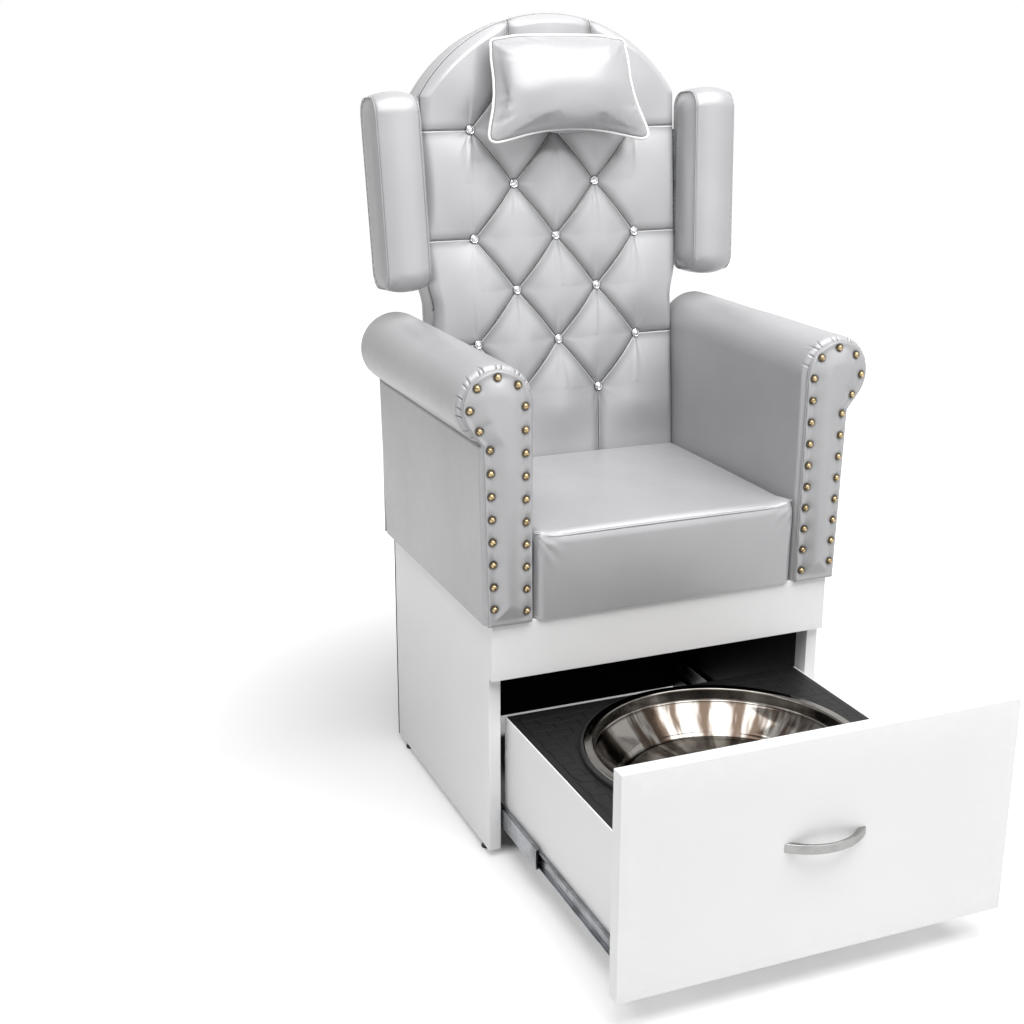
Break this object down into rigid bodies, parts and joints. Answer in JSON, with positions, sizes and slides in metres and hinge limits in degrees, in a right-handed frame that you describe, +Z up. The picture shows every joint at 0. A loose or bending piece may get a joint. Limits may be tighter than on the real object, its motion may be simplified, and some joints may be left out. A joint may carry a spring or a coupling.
{
  "type": "pedicure spa chair",
  "caption": "Scroll-arm upholstered pedicure chair with tufted winged back, on a cabinet whose pull-out drawer carries a stainless foot bowl.",
  "frame": {"origin": "on the floor, at the middle of the whole chair's footprint with its drawer pulled out and its bowl and pillow in place", "axes": "+Z up, the chair faces -Y so that the drawer pulls out along -Y, +X to the right as seen from the front"},
  "size_m": [0.7658, 1.1462, 1.4164],
  "materials": {
    "white_laminate": "satin",
    "black_board": "matte",
    "black_vinyl_board": "satin",
    "black_rubber": "matte",
    "silver_vinyl": "satin",
    "plywood": "matte",
    "zinc_steel": "satin",
    "satin_nickel": "satin",
    "stainless_steel": "polished",
    "brass_nails": "polished",
    "crystal": "polished",
    "hook_and_loop": "matte"
  },
  "bodies": {
    "chair": {"side_panel_left": "white_laminate", "side_panel_right": "white_laminate", "cabinet_top": "black_board", "cabinet_back": "black_board", "fascia": "white_laminate", "foot_glide_front_left": "black_rubber", "foot_glide_front_right": "black_rubber", "foot_glide_rear_left": "black_rubber", "foot_glide_rear_right": "black_rubber", "slide_outer_left": "zinc_steel", "slide_outer_right": "zinc_steel", "seat_board": "plywood", "seat_cushion": "silver_vinyl", "rear_panel": "silver_vinyl", "arm_left": "silver_vinyl", "arm_right": "silver_vinyl", "arm_front_left": "silver_vinyl", "arm_front_right": "silver_vinyl", "nail_trim_left": "brass_nails", "nail_trim_right": "brass_nails", "wing_left": "silver_vinyl", "wing_right": "silver_vinyl", "wing_bracket_left": "zinc_steel", "wing_bracket_right": "zinc_steel", "backrest_board": "plywood", "backrest_cushion": "silver_vinyl", "backrest_cover": "silver_vinyl", "tuft_button_01": "crystal", "tuft_button_02": "crystal", "tuft_button_03": "crystal", "tuft_button_04": "crystal", "tuft_button_05": "crystal", "tuft_button_06": "crystal", "tuft_button_07": "crystal", "tuft_button_08": "crystal", "tuft_button_09": "crystal", "tuft_button_10": "crystal", "tuft_button_11": "crystal", "tuft_button_12": "crystal", "tuft_button_13": "crystal", "tuft_button_14": "crystal", "tuft_button_15": "crystal", "tuft_button_16": "crystal", "tuft_button_17": "crystal", "pillow_loop_patch": "hook_and_loop"},
    "drawer": {"drawer_front": "white_laminate", "drawer_side_left": "white_laminate", "drawer_side_right": "white_laminate", "drawer_back": "white_laminate", "drawer_bottom": "white_laminate", "drawer_deck": "black_vinyl_board", "bowl_seal": "black_rubber", "drawer_handle": "satin_nickel", "slide_inner_left": "zinc_steel", "slide_inner_right": "zinc_steel"},
    "bowl": {"foot_bowl": "stainless_steel"},
    "slide_middle_left": {"slide_middle_left": "zinc_steel"},
    "slide_middle_right": {"slide_middle_right": "zinc_steel"},
    "pillow": {"head_pillow": "silver_vinyl", "pillow_hook_patch": "hook_and_loop"}
  },
  "joints": [
    {"name": "drawer_slide", "type": "slide", "parent": "chair", "child": "drawer", "axis": [0, -1, 0], "range_m": [-0.489, 0.009]},
    {"name": "slide_middle_left_run", "type": "slide", "parent": "chair", "child": "slide_middle_left", "axis": [0, -1, 0], "range_m": [-0.15, 0.009]},
    {"name": "slide_middle_right_run", "type": "slide", "parent": "chair", "child": "slide_middle_right", "axis": [0, -1, 0], "range_m": [-0.15, 0.009]},
    {"name": "bowl_lift", "type": "slide", "parent": "drawer", "child": "bowl", "axis": [0, 0, 1], "range_m": [0, 0.065]},
    {"name": "pillow_pull_off", "type": "slide", "parent": "chair", "child": "pillow", "axis": [0, -0.996, 0.0889], "range_m": [0, 0.15]}
  ],
  "couplings": [
    {"joint": "slide_middle_left_run", "follows": "drawer_slide", "ratio": 0.30675},
    {"joint": "slide_middle_right_run", "follows": "drawer_slide", "ratio": 0.30675}
  ]
}
